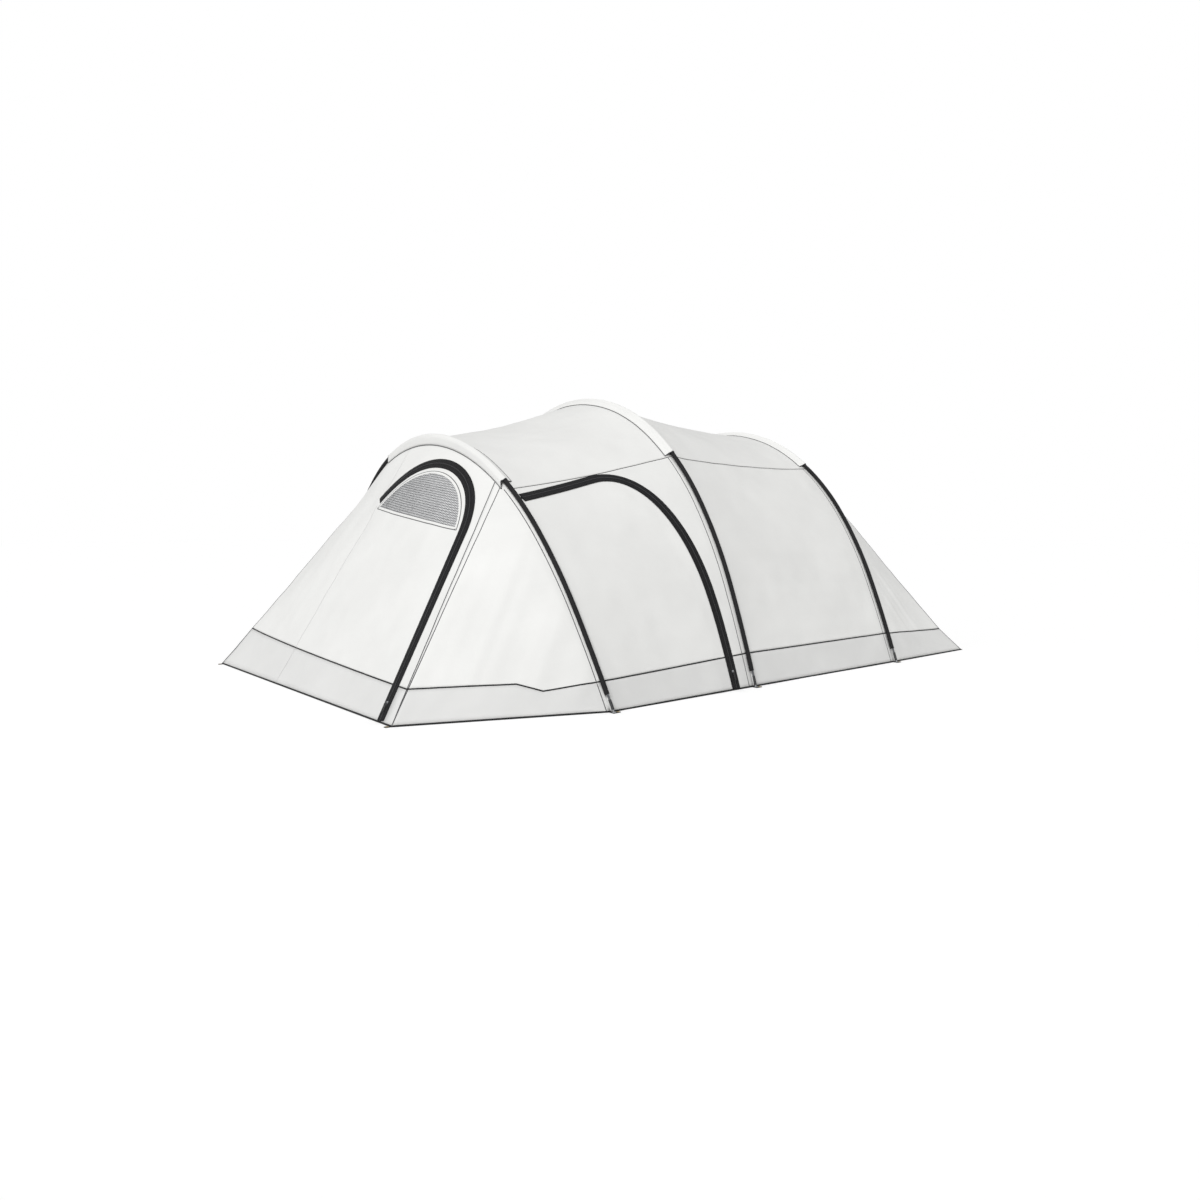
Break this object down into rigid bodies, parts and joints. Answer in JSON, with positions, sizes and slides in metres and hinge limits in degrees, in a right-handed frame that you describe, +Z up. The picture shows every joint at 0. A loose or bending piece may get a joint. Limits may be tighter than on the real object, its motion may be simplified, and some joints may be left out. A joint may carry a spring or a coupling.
{
  "type": "tunnel tent",
  "caption": "Tunnel tent on bent poles in sleeves, with a sloping front door, a side door, a sewn-in ground skirt and a hung bedroom.",
  "frame": {"origin": "centre of the footprint on the ground", "axes": "+X from the front door towards the bedroom end, +Y towards the side without a door, +Z up"},
  "size_m": [4.35, 3.4, 1.8],
  "materials": {
    "fibreglass": "wound glass fibre, clear coated",
    "steel": "plain steel",
    "cord": "braided elastic cord",
    "nylon": "moulded nylon",
    "eyelets": "rolled brass",
    "webbing": "flat woven webbing",
    "sleeve_cloth": "plain weave",
    "fly_cloth": "coated plain weave",
    "skirt_cloth": "coated plain weave",
    "inner_cloth": "light plain weave",
    "mesh": "knitted insect mesh",
    "zip": "woven tape and plastic coils",
    "groundsheet": "coated sheet"
  },
  "bodies": {
    "tent": {"front_pole": "fibreglass", "middle_pole": "fibreglass", "rear_pole": "fibreglass", "pole_ferrules": "steel", "shock_cords": "cord", "pole_end_tips": "nylon", "foot_pins": "steel", "peg_tabs": "webbing", "peg_eyelets": "eyelets", "front_sleeves": "sleeve_cloth", "middle_sleeves": "sleeve_cloth", "rear_sleeves": "sleeve_cloth", "front_hood": "fly_cloth", "middle_hood": "fly_cloth", "rear_hood": "fly_cloth", "front_roof": "fly_cloth", "rear_roof": "fly_cloth", "front_left_side": "fly_cloth", "rear_left_side": "fly_cloth", "rear_right_side": "fly_cloth", "side_surround": "fly_cloth", "front_right_cheek": "fly_cloth", "front_left_cheek": "fly_cloth", "rear_right_cheek": "fly_cloth", "rear_left_cheek": "fly_cloth", "front_surround": "fly_cloth", "front_left_panel": "fly_cloth", "rear_panel": "fly_cloth", "front_skirt": "skirt_cloth", "left_skirt": "skirt_cloth", "right_skirt": "skirt_cloth", "rear_skirt": "skirt_cloth", "front_zip_fly_tape": "zip", "front_zip_chain": "zip", "side_zip_fly_tape": "zip", "side_zip_chain": "zip", "bedroom_tray": "groundsheet", "bedroom_right_wall": "inner_cloth", "bedroom_left_wall": "inner_cloth", "bedroom_roof": "inner_cloth", "bedroom_rear_wall": "inner_cloth", "bedroom_front_wall": "inner_cloth", "bedroom_zip": "zip", "hanging_toggles": "nylon"},
    "front_door": {"front_door": "fly_cloth", "front_door_skirt": "skirt_cloth", "front_vent_mesh": "mesh", "front_vent_binding": "fly_cloth", "front_zip_door_tape": "zip"},
    "side_door": {"side_door": "fly_cloth", "side_door_skirt": "skirt_cloth", "side_zip_door_tape": "zip"},
    "bedroom_door": {"bedroom_door": "inner_cloth", "bedroom_door_tape": "zip"},
    "front_slider": {"front_zip_slider": "steel"},
    "side_slider": {"side_zip_slider": "steel"},
    "bedroom_slider": {"bedroom_zip_slider": "steel"},
    "front_puller": {"front_zip_puller": "zip"},
    "side_puller": {"side_zip_puller": "zip"},
    "bedroom_puller": {"bedroom_zip_puller": "zip"}
  },
  "joints": [
    {"name": "front_door_swing", "type": "hinge", "parent": "tent", "child": "front_door", "pos_m": [-2.145, 0.265, 0.0046], "axis": [-0.5083, 0.0525, -0.8596], "range_deg": [0, 110]},
    {"name": "side_door_swing", "type": "hinge", "parent": "tent", "child": "side_door", "pos_m": [-1.15431, -1.71916, 0.04035], "axis": [0.0666, -0.5499, -0.8326], "range_deg": [0, 100]},
    {"name": "bedroom_door_swing", "type": "hinge", "parent": "tent", "child": "bedroom_door", "pos_m": [-0.0668, 0.42975, 0.495], "axis": [0, 0, -1], "range_deg": [0, 100]},
    {"name": "front_slider_run", "type": "slide", "parent": "tent", "child": "front_slider", "axis": [0.5518, 0.2615, 0.7919], "range_m": [0, 0.98]},
    {"name": "front_puller_swing", "type": "hinge", "parent": "front_slider", "child": "front_puller", "pos_m": [-2.1003, -1.1058, 0.0872], "axis": [-0.2292, 0.9606, -0.1574], "range_deg": [0, 150]},
    {"name": "side_slider_run", "type": "slide", "parent": "tent", "child": "side_slider", "axis": [-0.0092, 0.3329, 0.9429], "range_m": [0, 0.17]},
    {"name": "side_puller_swing", "type": "hinge", "parent": "side_slider", "child": "side_puller", "pos_m": [-0.2682, -1.64013, 0.10059], "axis": [-0.9997, 0.0191, -0.0165], "range_deg": [0, 150]},
    {"name": "bedroom_slider_run", "type": "slide", "parent": "tent", "child": "bedroom_slider", "axis": [0, 0, 1], "range_m": [0, 0.555]},
    {"name": "bedroom_puller_swing", "type": "hinge", "parent": "bedroom_slider", "child": "bedroom_puller", "pos_m": [-0.0774, -0.43, 0.2944], "axis": [0, 1, 0], "range_deg": [0, 150]}
  ]
}
